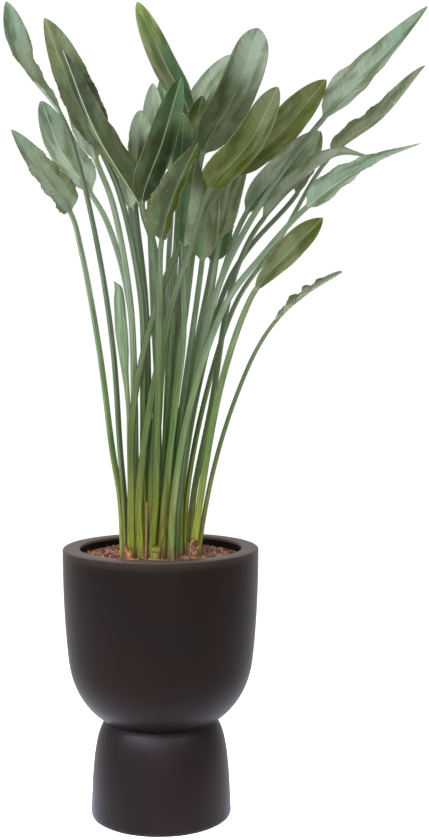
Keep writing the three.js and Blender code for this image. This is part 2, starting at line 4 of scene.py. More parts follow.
import bpy
import numpy as np
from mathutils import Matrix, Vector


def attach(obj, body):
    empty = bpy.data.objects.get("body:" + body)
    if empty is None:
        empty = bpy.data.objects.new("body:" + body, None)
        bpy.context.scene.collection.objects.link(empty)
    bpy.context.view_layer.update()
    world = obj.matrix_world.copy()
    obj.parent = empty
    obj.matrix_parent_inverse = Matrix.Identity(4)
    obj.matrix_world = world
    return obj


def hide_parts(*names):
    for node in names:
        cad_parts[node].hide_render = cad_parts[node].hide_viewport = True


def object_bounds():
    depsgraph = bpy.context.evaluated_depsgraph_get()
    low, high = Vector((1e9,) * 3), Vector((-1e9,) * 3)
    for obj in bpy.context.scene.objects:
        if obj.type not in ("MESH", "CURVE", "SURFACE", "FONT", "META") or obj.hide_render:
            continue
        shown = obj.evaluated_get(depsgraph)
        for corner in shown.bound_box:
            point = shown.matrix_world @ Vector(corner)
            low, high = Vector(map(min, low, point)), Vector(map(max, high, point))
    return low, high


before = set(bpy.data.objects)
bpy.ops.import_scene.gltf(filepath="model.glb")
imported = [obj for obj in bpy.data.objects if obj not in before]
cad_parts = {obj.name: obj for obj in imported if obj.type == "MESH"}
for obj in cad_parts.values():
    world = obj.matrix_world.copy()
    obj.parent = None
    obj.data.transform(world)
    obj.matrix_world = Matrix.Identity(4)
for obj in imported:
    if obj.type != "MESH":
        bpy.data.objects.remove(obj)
cad_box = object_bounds()

MM = 0.001
RNG = np.random.default_rng(7)

# The planter, in millimetres
POT_HEIGHT = 550
RIM_RADIUS = 200
MOUTH_RADIUS = 165
BASE_RADIUS = 143.5
NECK_RADIUS = 112.5
NECK_HEIGHT = 195
BELLY_RADIUS = 187
BELLY_HEIGHT = 310
BOWL_FLOOR = 222
BOWL_WALL_FOOT = 330
FOOT_CEILING = 204
FOOT_FLOOR = 20
FOOT_WALL = 24
DRAIN_RADIUS = 12
EDGE_ROUNDING = 4
POT_SIDES = 160
SHARP_FROM = 50

# The bark mix and what is rooted in it
SOIL_LEVEL = 531
SOIL_RELIEF = 2.5
ROOT_DEPTH = 60
CRUMBS = 5200
CRUMB_SIZE = (3.0, 9.5)
CRUMBS_FROM_WALL = 5
FIBRES = 420
FIBRE_LENGTH = (8, 22)
FIBRE_HALF_WIDTH = 0.35
FIBRES_FROM_WALL = 12

# Leaf stalks: half widths in millimetres, how they taper, and the form of their section
STEM_LOW = 9.6
STEM_HIGH = 6.4
STEM_TAPER = 1.1
STEM_FLATNESS = 0.72
STEM_SIDE = 0.866
CHANNEL_SHARE = 0.16
STALK_EDGE = 0.35
SWING = 1.6
STALK_STATIONS = 44

# Leaf blades: lengths, widths and depths in millimetres, and how many waves and ripples run along one
BLADE_STATIONS = 96
RING_HALF = 27
BLADE_LENGTH = 290
BLADE_THICKNESS = 1.2
EDGE_THINNING = 0.35
TIP_HALF_WIDTH = 1.2
OUTLINE_POWER = 0.7
CUPPING = 0.25
WAVES = 5
WAVED_PART = 0.75
NECK_BLEND = 0.07
FRILL_SPACING = 9
FRILL_DEPTH = 1.6
RUFFLE_PACE = 0.55
RIPPLES = 17
RIPPLE_DEPTH = 0.18
RIB_WIDTHS = (4.2, 1.1)
GROOVE_DEPTH = 0.8

# What is usual in a leaf: how far each half rises at the neck and at the tip, where it is widest, how
# full it is before that and how blunt beyond, its waves and frills, and its marks from 0 to 1
USUAL_FORM = dict(fold=(35, 30), widest=0.32, full=2.4, blunt=2.2, wave=3, frill=0, dry=0.1,
                  rib=0.12, scars=0.35)

# Rods, with the angle of their seam in radians and their skin's width for a degree, and torn sheaths
ROD_SEAM = 1.9
MM_PER_DEGREE = 0.12
TEARS = 57
TEAR_SHARE = 0.03
CURLS = 23
CURL_DEPTH = 1.2
SHEATH_WIDTH = 26
SHEATH_THICKNESS = 1
SHEATH_FOOT = 0.8

# Patterns of the materials, in millimetres
VEIN_SPACING = 3.6
BAND_SPACING = 22
BLOOM_SIZE = 38
SPOT_SIZE = 11
RIB_HALF_WIDTH = 1.8
THREAD_SPACING = 1.7
PATCH_WIDTH = 6
FIBRE_SPACING = 1.1
BLOTCH_SIZE = 9
STAIN_SIZE = 160
GRAIN_SIZE = 2.2
LUMP_SIZE = 6
BARK_GRAIN = 1.4
PATTERN_SHIFT = 97

# The camera: its focal length in pixels of the photograph and the photograph's height, the shift of
# its lens, and how many degrees it is tipped down
FOCAL_LENGTH = 1275
PHOTO_HEIGHT = 840
LENS_SHIFT = -0.0292
TIPPED_DOWN = 2.2

# The studio, in metres. Each foot lamp has its angle round the pot from the front and its power
FLOOR_SIZE = 40
FOOT_LAMPS = ((-64, 1.4), (-36, 1.8), (-8, 0.9), (22, 0.55), (52, 0.6))
LAMP_DISTANCE = 2.5
LAMP_HEIGHT = 2.1

# Greens of a leaf's tissue, before its veins and bloom. Some also serve as painted light and shade on a
# leaf's right half and tip
TONES = dict(
    deep_shade="1b2a0b", forest="2b3d13", dark_moss="3a450b", bottle="3e4827", moss="4e541f",
    pine="455c3c", fern="566d45", olive_grey="646c4b", khaki="747a5e", sage="7a846c",
    fresh="84955e", grey_sage="84907f", mist="8e9a88", silver="9fae9a", bloom="abb8a3",
    slate_green="748674")

# A stalk's colours: under the blade, half way up, low down on an old and a young one, and in the soil
STALK_COLORS = ("62735a", "4b6328", "5a6c10", "939b14", "704a22")


def leaf(number, foot, stem, neck, middle, tip, **form):
    """One leaf: places in millimetres, turn and fold in degrees, and its tones. Under is given where
    the underside differs from the upper side, right and end where that half or the tip does. The
    right half's tone is painted light and shade: that half is lit on some leaves and in shade on
    others. The tip's tone is partly its own and partly painted light."""
    return USUAL_FORM | dict(
        name=f"leaf_{number:02d}", number=number, foot=foot, stem=stem,
        neck=neck, middle=middle, tip=tip, under=form["upper"]) | form


# From left to right. A stem's points are (x, z): its depth swings from the foot's to the neck's
LEAVES = [
    leaf(1, (-76, -10), [(-81, 647), (-97, 750), (-121, 950), (-155, 1150)],
         (-175, -60, 1225), (-230, -135, 1303), (-270, -200, 1365),
         width=78, turn=(45, 35), fold=(22, 22), widest=0.18, blunt=1.3, wave=4, frill=0.8, dry=0.4,
         upper="mist", under="silver", right="sage", end="slate_green"),
    leaf(2, (-68, -27), [(-72, 650), (-80, 750), (-93, 950), (-122, 1152), (-166, 1345)],
         (-195, -46, 1421), (-277, -50, 1530), (-301, -56, 1640),
         width=70, turn=(58, 32), fold=(44, 30), widest=0.62, blunt=1.5, full=1, frill=0.5, dry=0.3,
         upper="grey_sage", right="sage", end="slate_green"),
    leaf(3, (-56, 25), [(-57, 650), (-56, 850), (-66, 1055), (-111, 1215)],
         (-145, 40, 1275), (-215, 110, 1375), (-265, 180, 1490),
         width=92, turn=(18, 18), fold=(43, 35), widest=0.22, wave=4, frill=1.3, dry=0.3, rib=0.6,
         upper="bloom", right="mist", end="slate_green"),
    leaf(4, (-49, -28), [(-50, 650), (-51, 850), (-59, 1050), (-93, 1245)],
         (-125, -50, 1330), (-160, 30, 1435), (-200, 90, 1545),
         width=72, turn=(10, 10), fold=(30, 30), wave=4, frill=0.5, dry=0.2, upper="silver",
         under="bloom", right="olive_grey"),
    leaf(5, (-30, -29), [(-34, 650), (-33, 850), (-36, 1050), (-77, 1260)],
         (-115, -70, 1350), (-170, -100, 1468), (-219, -110, 1594),
         width=88, turn=(160, 155), fold=(30, 30), blunt=2.6, frill=0.7, dry=0.2, upper="forest",
         right="bottle", end="olive_grey"),
    leaf(6, (-19, -11), [(-14, 650), (0, 850), (7, 1055), (-21, 1205)],
         (-37, -55, 1242), (-117, -150, 1371), (-173, -195, 1512),
         width=74, turn=(140, 140), fold=(40, 40), widest=0.28, blunt=1.4, dry=0.15, rib=0.7,
         upper="bottle", right="olive_grey", end="deep_shade"),
    leaf(7, (-37, 25), [(-32, 650), (-30, 850), (-37, 1058), (-52, 1165)],
         (-64, 47, 1244), (-79, 66, 1309), (-102, 90, 1377),
         width=52, turn=(20, 20), fold=(40, 30), dry=0.5, upper="bloom"),
    leaf(8, (-28, 43), [(-26, 650), (-27, 850), (-34, 1060)],
         (-58, 95, 1292), (-53, 130, 1380), (-48, 155, 1466),
         width=70, turn=(30, 20), blunt=3, upper="sage", under="grey_sage", right="forest", end="silver"),
    leaf(9, (-8, 43), [(-6, 650), (-9, 850), (-22, 1080)],
         (-30, 150, 1300), (-30, 190, 1420), (-25, 212, 1535),
         width=66, turn=(20, 20), fold=(35, 35), blunt=3, upper="bloom"),
    leaf(10, (12, 43), [(13, 650), (13, 850), (10, 1080)],
         (19, 165, 1331), (8, 205, 1450), (-2, 230, 1564),
         width=60, turn=(-30, -30), wave=2, upper="silver"),
    leaf(11, (2, 25), [(5, 650), (12, 850), (22, 1080), (46, 1300)],
         (60, 60, 1430), (3, 95, 1560), (-53, 120, 1686),
         width=78, turn=(-8, -8), fold=(50, 45), blunt=2.6, upper="khaki", under="olive_grey",
         right="pine", end="fresh"),
    leaf(12, (-11, -29), [(-18, 650), (-6, 850), (-1, 1070), (-12, 1165)],
         (-30, -120, 1235), (10, -125, 1355), (45, -110, 1480),
         width=80, turn=(0, 0), fold=(45, 45), blunt=2.6, dry=0.05, rib=0.3, upper="bottle",
         right="deep_shade", end="pine"),
    leaf(13, (-18, -46), [(-8, 650), (-2, 850), (5, 1065)],
         (9, -165, 1160), (35, -205, 1245), (80, -235, 1335),
         width=84, turn=(-40, -20), fold=(35, 40), widest=0.22, blunt=1.6, wave=4, frill=1, dry=0.4,
         upper="bottle", right="dark_moss"),
    leaf(14, (1, -11), [(6, 650), (16, 850), (28, 1075)],
         (40, -35, 1290), (45, -15, 1358), (46, 0, 1430),
         width=60, turn=(20, 20), blunt=2.6, upper="pine", right="deep_shade", end="fern"),
    leaf(15, (11, 7), [(14.5, 650), (22.5, 850), (39, 1075)],
         (55, 10, 1318), (66, 20, 1396), (86, 15, 1470),
         width=60, turn=(10, 10), blunt=2.6, dry=0.3, scars=0.95, upper="fresh", end="dark_moss"),
    leaf(16, (21, 25), [(22, 650), (30, 850), (46, 1075)],
         (60, 85, 1340), (85, 150, 1470), (145, 205, 1595),
         width=84, turn=(0, 0), fold=(20, 25), blunt=2.4, dry=0.2, upper="bloom", right="forest",
         end="silver"),
    leaf(17, (2, -46), [(10, 650), (33, 850), (48, 970)],
         (50, -90, 1155), (60, -87, 1240), (74, -78, 1330),
         width=60, turn=(20, 20), fold=(25, 25), scars=0.95, upper="pine", under="olive_grey",
         right="sage", end="dark_moss"),
    leaf(18, (20, -11), [(24, 650), (46, 850), (63, 970)],
         (85, -40, 1130), (95, -45, 1230), (105, -35, 1335),
         width=70, turn=(-10, -10), fold=(32, 30), widest=0.3, blunt=2.4, dry=0.3, scars=0.95,
         upper="fern", right="khaki"),
    leaf(19, (9, -29), [(14.5, 650), (29, 850), (57, 1075), (75, 1230)],
         (85, -15, 1345), (150, 5, 1470), (200, 15, 1605),
         width=88, turn=(10, 10), fold=(28, 25), blunt=6, scars=0.95, upper="bottle", end="grey_sage"),
    leaf(20, (-38, -46), [(-42, 650), (-16, 853), (35, 1070), (64, 1150)],
         (100, -140, 1260), (175, -160, 1345), (230, -170, 1450),
         width=80, turn=(-8, -5), fold=(40, 42), widest=0.22, blunt=4.5, frill=0.6, dry=0.15,
         upper="moss", end="olive_grey"),
    leaf(21, (39, -11), [(40, 650), (61, 850), (84, 975), (104, 1075)],
         (120, 0, 1180), (140, -5, 1275), (175, 10, 1380),
         width=76, turn=(0, 0), fold=(45, 40), blunt=2.4, frill=1, dry=0.3, upper="khaki", under="sage"),
    leaf(22, (30, 7), [(31, 650), (54, 850), (75, 975)],
         (105, 25, 1130), (115, 40, 1225), (145, 70, 1340),
         width=76, turn=(20, 20), widest=0.3, blunt=2.4, frill=1, dry=0.4, scars=0.95, upper="fern",
         end="mist"),
    leaf(23, (-58, -45), [(-58, 650), (-51, 850), (4, 1070), (42, 1155)],
         (145, -75, 1295), (245, -75, 1385), (330, -65, 1485),
         width=82, turn=(-12, -12), fold=(30, 30), blunt=2.8, wave=4, dry=0.2, upper="moss",
         right="moss"),
    leaf(24, (40, 25), [(40, 650), (66, 850), (90, 975), (117, 1078)],
         (175, 55, 1235), (256, 75, 1332), (330, 105, 1413),
         width=78, turn=(0, 0), fold=(40, 35), blunt=2.4, wave=4, frill=1, dry=0.3, upper="mist",
         right="fern", end="sage"),
    leaf(25, (29, -29), [(34, 650), (63, 850), (119, 1083), (167, 1186), (246, 1310)],
         (326, -35, 1413), (421, -30, 1512), (535, -25, 1638),
         width=88, turn=(-28, -30), fold=(35, 33), widest=0.26, blunt=1.2, full=1.3, frill=0.2, dry=0.4,
         upper="grey_sage", under="sage", right="mist", end="slate_green"),
    leaf(26, (32, 43), [(40, 650), (71, 850), (132, 1080), (180, 1165)],
         (285, 140, 1285), (320, 175, 1360), (340, 205, 1430),
         width=60, turn=(-40, -30), blunt=2.6, dry=0.2, upper="khaki", under="sage"),
    leaf(27, (49, 7), [(52, 650), (89, 850), (156, 1055), (240, 1175)],
         (350, 70, 1355), (459, 75, 1437), (545, 60, 1540),
         width=72, turn=(-62, -66), fold=(40, 35), frill=0.3, dry=0.15, upper="khaki", under="sage",
         right="olive_grey", end="sage"),
    leaf(28, (58, -11), [(66, 650), (105, 850), (137, 1050), (162, 1135)],
         (206, -18, 1214), (354, -15, 1344), (438, -20, 1336),
         width=62, turn=(-45, -90), fold=(35, 12), frill=0.4, dry=0.3, upper="sage", under="khaki",
         right="khaki"),
    leaf(29, (22, -46), [(28, 650), (63, 850), (136, 1051), (201, 1136)],
         (291, -70, 1234), (399, -95, 1309), (508, -120, 1352),
         width=64, turn=(-25, -80), fold=(22, 20), widest=0.24, blunt=1.3, frill=0.3, dry=0.3, rib=0.5,
         upper="slate_green", right="mist"),
    leaf(30, (66, -29), [(81, 650), (115, 850), (143, 955), (170, 1030)],
         (190, -100, 1070), (252, -170, 1141), (311, -225, 1198),
         width=64, turn=(-5, -5), fold=(44, 40), widest=0.5, blunt=3.4, full=1.2, wave=4, frill=0.6,
         dry=0.3, upper="olive_grey", end="moss"),
    leaf(31, (76, -11), [(93, 646), (117, 750), (149, 850), (191, 950)],
         (230, -60, 1010), (285, -130, 1060), (350, -190, 1100),
         width=66, turn=(-80, -84), fold=(15, 10), widest=0.36, blunt=4, wave=5, frill=0.3, upper="sage"),
]

# Rods: sections from the ground up, as (x, y, z, half width, half depth) in millimetres
YOUNG_LEAF = [(-66, 8, 471, 7, 6), (-66, 8, 531, 7, 6), (-63, 8, 645, 6, 5), (-65, 6, 745, 5, 4.5),
              (-66, 4, 830, 5, 4), (-70, 2, 881, 6, 4.5), (-73, 1, 912, 8, 5), (-76, 0, 953, 12, 6),
              (-80, -1, 993, 14, 6), (-84, -2, 1055, 12, 5), (-86, -3, 1081, 8, 3.5),
              (-94, -3, 1092, 1.5, 1.2)]
CUT_STUMP = [(-9, -65, 471, 8.5, 7), (-9, -65, 531, 9, 7.5), (-8, -66, 556, 9.5, 7.5)]
STUMP_SLANT = 7
DRY_STALK = [(-28, -62, 471, 2.5, 2), (-28, -62, 531, 2.5, 2), (-26, -65, 590, 2.2, 1.8),
             (-25, -69, 650, 1.2, 1)]
SHEATHS = [
    dict(name="left_dry_sheath", leaf=23, radius=11.5, span=(62, 185),
         tops=(1.16, 1.25, 1.19, 1.31, 1.22, 1.33, 1.18), color="a0692e"),
    dict(name="right_dry_sheath", leaf=30, radius=11.5, span=(30, 175),
         tops=(1.22, 1.36, 1.27, 1.42, 1.3, 1.38, 1.2), color="7a5634"),
]


def linear(color):
    """An sRGB hex colour as linear red, green, blue and alpha."""
    parts = [int(color[i:i + 2], 16) / 255 for i in (0, 2, 4)]
    return np.array([c / 12.92 if c <= 0.04045 else ((c + 0.055) / 1.055) ** 2.4 for c in parts] + [1.0])


def blend(start, end, part):
    """From start to end, as part goes from 0 to 1."""
    return start + (end - start) * part


def smooth(start, end, value):
    """0 before start, 1 after end, and an even S between them."""
    part = np.clip((value - start) / (end - start), 0, 1)
    return part * part * (3 - 2 * part)


# Materials

MIX = dict(data_type="RGBA")
TINT = dict(data_type="RGBA", blend_type="MULTIPLY")
LIGHTEN = dict(data_type="RGBA", blend_type="ADD")
EASED = dict(interpolation_type="SMOOTHSTEP")


def add_node(tree, kind, inputs=(), **settings):
    """A node with its settings, and each input set to a value or linked to an output or to a node's
    first one. An input has its name, or its place among those that the settings leave in use."""
    node = tree.nodes.new(kind)
    for name, value in settings.items():
        setattr(node, name, value)
    used = [socket for socket in node.inputs if socket.enabled]
    for name, value in dict(inputs).items():
        socket = used[name] if isinstance(name, int) else next(s for s in used if s.name == name)
        if isinstance(value, bpy.types.Node):
            value = next(s for s in value.outputs if s.enabled)
        if isinstance(value, bpy.types.NodeSocket):
            tree.links.new(value, socket)
        else:
            socket.default_value = linear(value) if isinstance(value, str) else value
    return node


def new_material(name):
    """An empty material and its tree."""
    material = bpy.data.materials.new(name)
    material.use_nodes = True
    material.node_tree.nodes.clear()
    return material, material.node_tree


def finished(material, inputs):
    """The material with its surface on its tree's output."""
    shader = add_node(material.node_tree, "ShaderNodeBsdfPrincipled", inputs)
    add_node(material.node_tree, "ShaderNodeOutputMaterial", {"Surface": shader})
    return material


def cover(tree, base, over, pattern, start, end, most=1.0, way=MIX):
    """The base with another colour over it, more and more of it as the pattern goes from start to end.
    Most is how much of it there is then, a number or what a node gives, and way is how it is laid on."""
    share = add_node(tree, "ShaderNodeMapRange", {
        "Value": pattern, "From Min": start, "From Max": end, "To Max": most}, **EASED)
    return add_node(tree, "ShaderNodeMix", {"Factor": share, "A": base, "B": over}, **way)


def read_marks(tree):
    """A leaf's tissue, where a point lies on it in millimetres along and off the middle, how near to
    the edge that is, from 0 to 1, and how dry and how ribbed the leaf is there."""
    tissue = add_node(tree, "ShaderNodeAttribute", attribute_name="tissue")
    grown = add_node(tree, "ShaderNodeAttribute", attribute_name="blade_mm").outputs["Vector"]
    along, off, edge = add_node(tree, "ShaderNodeSeparateXYZ", {0: grown}).outputs
    signs = add_node(tree, "ShaderNodeAttribute", attribute_name="age").outputs["Vector"]
    dryness, ribbed, _ = add_node(tree, "ShaderNodeSeparateXYZ", {0: signs}).outputs
    return tissue, along, off, edge, dryness, ribbed


def make_leaf_blade():
    """Living leaf, smooth and waxed by the plant itself: a leathery blade with a soft gloss and a
    greyish bloom in patches, partly wax bloom and partly painted sheen, and long dark bands, partly
    the leaf's own tone and partly painted shade. Fine side veins run from the midrib out and
    forwards, the midrib is a little paler, and brown spots gather at the edge of an old blade."""
    material, tree = new_material("waxy living leaf")
    tissue, along, off, edge, dryness, ribbed = read_marks(tree)
    far = add_node(tree, "ShaderNodeMath", {0: off}, operation="ABSOLUTE")

    # A side vein is where the place along, less a part of the way from the midrib, stays the same
    lean, near_off, slow_along = [
        add_node(tree, "ShaderNodeMath", {0: length, 1: share}, operation="MULTIPLY")
        for length, share in ((far, 0.75), (off, 0.06), (along, 0.22))]
    lane = add_node(tree, "ShaderNodeMath", {0: along, 1: lean}, operation="SUBTRACT")
    vein_place = add_node(tree, "ShaderNodeCombineXYZ", {"X": lane, "Y": near_off})
    band_place = add_node(tree, "ShaderNodeCombineXYZ", {"X": slow_along, "Y": off})
    flat_place = add_node(tree, "ShaderNodeCombineXYZ", {"X": along, "Y": off})
    veins, bands, clouds, spots = [
        add_node(tree, "ShaderNodeTexNoise", {
            "Vector": place, "Scale": 1 / size, "Detail": detail, "Roughness": roughness})
        for place, size, detail, roughness in (
            (vein_place, VEIN_SPACING, 1.0, 0.45), (band_place, BAND_SPACING, 2.0, 0.5),
            (flat_place, BLOOM_SIZE, 3.0, 0.5), (flat_place, SPOT_SIZE, 2.0, 0.5))]

    # Darker between the veins, then the bloom, partly wax bloom and partly painted sheen, and the dark
    # bands, partly the leaf's own tone and partly painted shade
    base = cover(tree, tissue, "e6eadf", veins, 0.7, 0.3, way=TINT)
    base = cover(tree, base, "27332d", clouds, 0.44, 0.7, 0.95, LIGHTEN)
    base = cover(tree, base, "9bab80", bands, 0.42, 0.66, 0.8, TINT)

    # The midrib, the rim, brown patches at the edge and freckles anywhere
    base = cover(tree, base, "b4c096", far, RIB_HALF_WIDTH, 0.5, ribbed)
    base = cover(tree, base, "8f9968", edge, 0.95, 0.985, 0.2)
    dry_edge = add_node(tree, "ShaderNodeMapRange", {
        "Value": edge, "From Min": 0.74, "From Max": 1.0, "To Max": dryness}, **EASED)
    base = cover(tree, base, "84693f", spots, 0.42, 0.6, dry_edge)
    base = cover(tree, base, "6b6440", spots, 0.66, 0.72, dryness)

    gloss = add_node(tree, "ShaderNodeMapRange", {
        "Value": clouds, "From Min": 0.3, "From Max": 0.7, "To Min": 0.46, "To Max": 0.6}, **EASED)
    relief = add_node(tree, "ShaderNodeBump", {"Height": veins, "Distance": 0.1 * MM})
    relief = add_node(tree, "ShaderNodeBump", {"Height": bands, "Distance": 1.0 * MM, "Normal": relief})
    return finished(material, {
        "Base Color": base, "Roughness": gloss, "IOR": 1.42, "Specular IOR Level": 0.35,
        "Normal": relief})


def make_stalk():
    """Leaf stalk, firm and waxed by the plant: fine threads run along it, with long paler patches,
    and brown scars where it leaves the soil."""
    material, tree = new_material("waxy leaf stalk")
    tissue, along, off, edge, dryness, _ = read_marks(tree)
    drawn_out = add_node(tree, "ShaderNodeMath", {0: along, 1: 0.02}, operation="MULTIPLY")
    thread_place = add_node(tree, "ShaderNodeCombineXYZ", {"X": drawn_out, "Y": off})
    patch_along = add_node(tree, "ShaderNodeMath", {0: along, 1: 0.12}, operation="MULTIPLY")
    patch_place = add_node(tree, "ShaderNodeCombineXYZ", {"X": patch_along, "Y": off, "Z": edge})
    threads = add_node(tree, "ShaderNodeTexNoise", {
        "Vector": thread_place, "Scale": 1 / THREAD_SPACING, "Detail": 3.0, "Roughness": 0.6})
    patches = add_node(tree, "ShaderNodeTexNoise", {
        "Vector": patch_place, "Scale": 1 / PATCH_WIDTH, "Detail": 3.0})
    base = cover(tree, tissue, "b3bf9f", threads, 0.62, 0.36, way=TINT)
    base = cover(tree, base, "2b3024", patches, 0.5, 0.75, 0.6, LIGHTEN)
    scar = cover(tree, "3c240c", "6e4f1c", threads, 0.36, 0.62)
    base = cover(tree, base, scar, patches, 0.44, 0.53, dryness)
    relief = add_node(tree, "ShaderNodeBump", {"Height": threads, "Distance": 0.25 * MM})
    return finished(material, {
        "Base Color": base, "Roughness": 0.5, "IOR": 1.42, "Specular IOR Level": 0.35, "Normal": relief})


def make_dry_leaf():
    """Dead leaf base, dried on the plant: brown fibres, dull, split along their length."""
    material, tree = new_material("dry leaf fibre")
    tissue = add_node(tree, "ShaderNodeAttribute", attribute_name="tissue")
    grown = add_node(tree, "ShaderNodeAttribute", attribute_name="blade_mm").outputs["Vector"]
    along, off, _ = add_node(tree, "ShaderNodeSeparateXYZ", {0: grown}).outputs
    drawn_out = add_node(tree, "ShaderNodeMath", {0: along, 1: 0.08}, operation="MULTIPLY")
    fibre_place = add_node(tree, "ShaderNodeCombineXYZ", {"X": drawn_out, "Y": off})
    fibres = add_node(tree, "ShaderNodeTexNoise", {
        "Vector": fibre_place, "Scale": 1 / FIBRE_SPACING, "Detail": 4.0, "Roughness": 0.65})
    blotches = add_node(tree, "ShaderNodeTexNoise", {
        "Vector": grown, "Scale": 1 / BLOTCH_SIZE, "Detail": 3.0})
    base = cover(tree, tissue, "6e5c4a", fibres, 0.62, 0.38, way=TINT)
    base = cover(tree, base, "c79a5e", blotches, 0.5, 0.7, 0.5)
    relief = add_node(tree, "ShaderNodeBump", {"Height": fibres, "Distance": 0.6 * MM})
    return finished(material, {"Base Color": base, "Roughness": 0.85, "IOR": 1.5, "Normal": relief})


def make_fibre_stone():
    """Fibre stone, cast and stained anthracite: matt, nearly black, with a fine sand grain and a
    brown cast where the stain lies thin, most of all along the worn rim. Its inside is painted darker, as
    painted shade down in the bowl."""
    material, tree = new_material("anthracite fibre stone")
    place = add_node(tree, "ShaderNodeTexCoord").outputs["Object"]
    clouds = add_node(tree, "ShaderNodeTexNoise", {
        "Vector": place, "Scale": 1 / (STAIN_SIZE * MM), "Detail": 3.0})
    grain = add_node(tree, "ShaderNodeTexNoise", {
        "Vector": place, "Scale": 1 / (GRAIN_SIZE * MM), "Detail": 3.0, "Roughness": 0.6})
    wear, inside = [add_node(tree, "ShaderNodeAttribute", attribute_name=name).outputs["Fac"]
                    for name in ("wear", "inside")]
    base = cover(tree, "0a0707", "0e0806", clouds, 0.35, 0.65)
    base = cover(tree, base, "160f0d", grain, 0.3, 0.7, 0.3)
    worn = add_node(tree, "ShaderNodeMath", {0: wear, 1: 0.7}, operation="MULTIPLY")
    base = add_node(tree, "ShaderNodeMix", {"Factor": worn, "A": base, "B": "584a40"}, **MIX)
    # Painted shade: the inside of the pot is painted darker, as the bowl lies in shade
    base = add_node(tree, "ShaderNodeMix", {"Factor": inside, "A": base, "B": "0b0808"}, **MIX)
    relief = add_node(tree, "ShaderNodeBump", {"Height": grain, "Distance": 0.12 * MM})
    return finished(material, {
        "Base Color": base, "Roughness": 0.42, "IOR": 1.5, "Specular IOR Level": 0.09,
        "Specular Tint": "fbe6dc", "Normal": relief})


def make_potting_mix():
    """Coir and composted bark, broken small: reddish brown, damp and dull."""
    material, tree = new_material("bark potting mix")
    place = add_node(tree, "ShaderNodeTexCoord").outputs["Object"]
    lumps = add_node(tree, "ShaderNodeTexNoise", {
        "Vector": place, "Scale": 1 / (LUMP_SIZE * MM), "Detail": 4.0, "Roughness": 0.6})
    base = cover(tree, "4b2a1e", "9a5f46", lumps, 0.35, 0.65)
    relief = add_node(tree, "ShaderNodeBump", {"Height": lumps, "Distance": 2.5 * MM})
    return finished(material, {"Base Color": base, "Roughness": 0.9, "IOR": 1.45, "Normal": relief})


def make_bark():
    """Bark crumbs and coir threads, broken and left rough: from nearly black to pale tan."""
    material, tree = new_material("bark crumbs")
    tissue = add_node(tree, "ShaderNodeAttribute", attribute_name="tissue")
    place = add_node(tree, "ShaderNodeTexCoord").outputs["Object"]
    fine = add_node(tree, "ShaderNodeTexNoise", {
        "Vector": place, "Scale": 1 / (BARK_GRAIN * MM), "Detail": 3.0, "Roughness": 0.6})
    base = cover(tree, tissue, "8d7b70", fine, 0.65, 0.35, way=TINT)
    relief = add_node(tree, "ShaderNodeBump", {"Height": fine, "Distance": 0.4 * MM})
    return finished(material, {"Base Color": base, "Roughness": 0.85, "IOR": 1.5, "Normal": relief})


def make_floor():
    """Studio paint, rolled on in white and matt. It glows a little, as under lamps of its own."""
    return finished(new_material("white studio paint")[0], {
        "Base Color": "f6f6f5", "Roughness": 0.9, "IOR": 1.45, "Emission Color": "ffffff",
        "Emission Strength": 0.62})


# Meshes

def new_object(name, data):
    """A mesh, a lamp or the camera, put into the scene."""
    thing = bpy.data.objects.new(name, data)
    bpy.context.scene.collection.objects.link(thing)
    return thing


def new_piece(name, points, faces, materials, material_of_face=None, smooth_faces=True):
    """A mesh object from points in millimetres."""
    mesh = bpy.data.meshes.new(name)
    mesh.from_pydata((np.asarray(points) * MM).tolist(), [], faces)
    for material in materials:
        mesh.materials.append(material)
    if material_of_face is not None:
        mesh.polygons.foreach_set("material_index", np.asarray(material_of_face, dtype=np.int32))
    mesh.polygons.foreach_set("use_smooth", np.full(len(mesh.polygons), smooth_faces))
    mesh.update()
    return new_object(name, mesh)


def set_attribute(piece, name, kind, values):
    """Values for a material to read, one at each point."""
    layer = piece.data.attributes.new(name, kind, "POINT")
    key = {"FLOAT": "value", "FLOAT_VECTOR": "vector", "FLOAT_COLOR": "color"}[kind]
    layer.data.foreach_set(key, np.asarray(values, dtype=np.float32).ravel())


def stands_for(piece, node):
    """The piece rides on the one body there is, in the place of its node, which is hidden."""
    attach(piece, "root")
    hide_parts(node)


def ring_faces(rings, size):
    """Faces of a tube of rings with size points each, closed at both ends."""
    faces = []
    for near in range(0, (rings - 1) * size, size):
        for i in range(size):
            j = (i + 1) % size
            faces.append((near + i, near + j, near + size + j, near + size + i))
    last = (rings - 1) * size
    return faces + [tuple(range(size - 1, -1, -1)), tuple(range(last, last + size))]


class Line:
    """A smooth line through points, as the solids' source draws it: a centripetal spline."""

    def __init__(self, points):
        self.points = np.array(points, dtype=float)
        before = 2 * self.points[0] - self.points[1]
        after = 2 * self.points[-1] - self.points[-2]
        self.padded = np.vstack([before, self.points, after])

    def at(self, part):
        whole = part * (len(self.points) - 1)
        first = np.clip(np.floor(whole).astype(int), 0, len(self.points) - 2)
        t = (whole - first)[:, None]
        p0, p1, p2, p3 = [self.padded[first + i] for i in range(4)]
        d0, d1, d2 = [np.sqrt(np.linalg.norm(b - a, axis=1))[:, None]
                      for a, b in ((p0, p1), (p1, p2), (p2, p3))]
        m1 = ((p1 - p0) / d0 - (p2 - p0) / (d0 + d1) + (p2 - p1) / d1) * d1
        m2 = ((p2 - p1) / d1 - (p3 - p1) / (d1 + d2) + (p3 - p2) / d2) * d1
        return (p1 + m1 * t + (-3 * p1 + 3 * p2 - 2 * m1 - m2) * t ** 2
                + (2 * p1 - 2 * p2 + m1 + m2) * t ** 3)

    def along(self, part):
        step = self.at(np.minimum(part + 1e-4, 1)) - self.at(np.maximum(part - 1e-4, 0))
        return step / np.linalg.norm(step, axis=1)[:, None]


